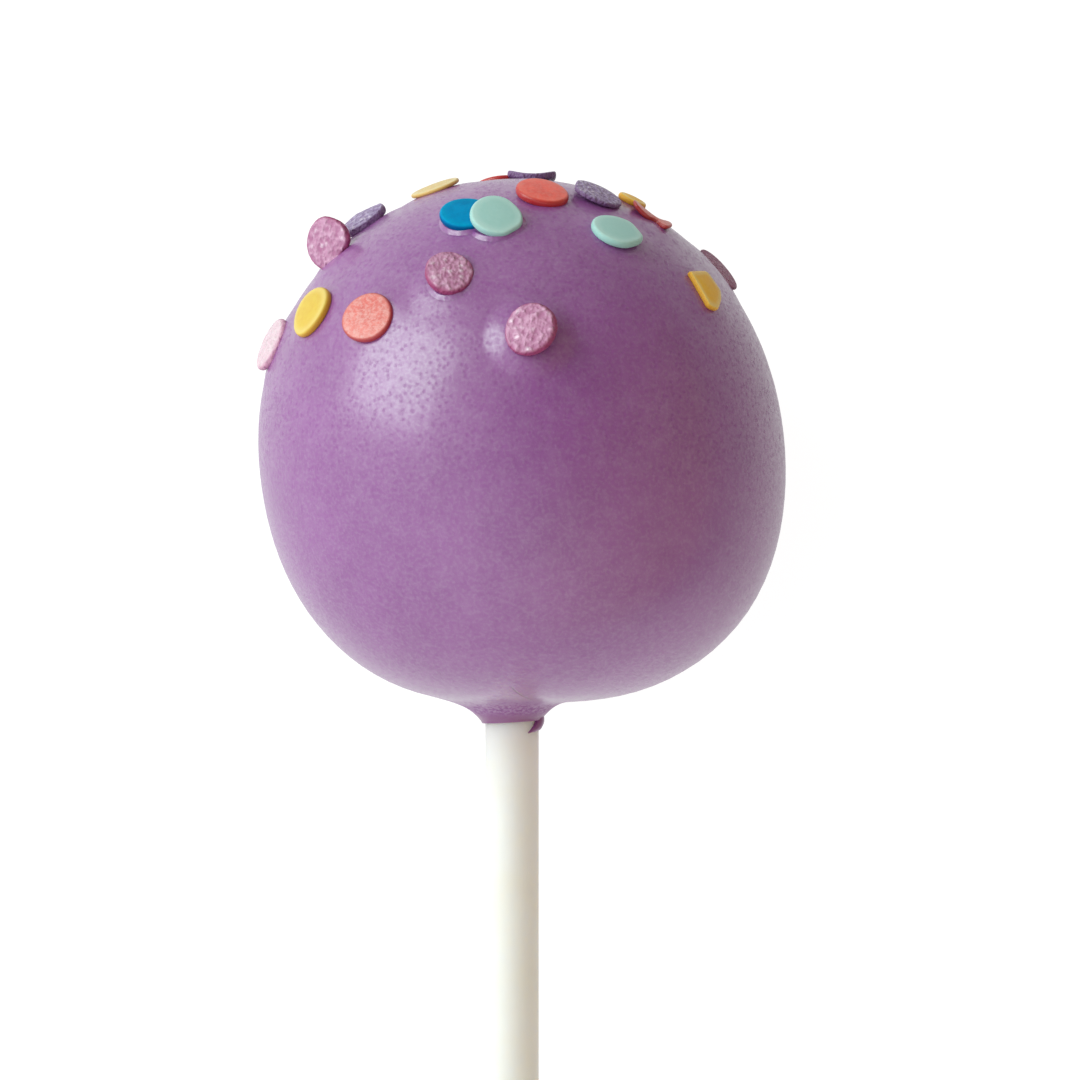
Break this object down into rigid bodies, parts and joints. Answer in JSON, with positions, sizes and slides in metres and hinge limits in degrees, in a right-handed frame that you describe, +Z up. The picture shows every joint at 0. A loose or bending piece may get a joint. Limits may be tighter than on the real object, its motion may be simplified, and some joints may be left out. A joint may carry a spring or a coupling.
{
  "type": "cake pop",
  "caption": "Ball of cake in a purple coating with round sugar confetti on its top half, on a paper stick; lies on its back.",
  "frame": {"origin": "on the surface it lies on, under the middle of the lying pop", "axes": "+Z up, the side shown in the picture; +Y from the stick's end to the ball, level; +X to the picture's right"},
  "size_m": [0.0392, 0.1714, 0.0397],
  "materials": {
    "coating": "satin",
    "paper": "matte"
  },
  "bodies": {
    "root": {"coated_ball": "coating", "stick": "paper"}
  },
  "joints": []
}
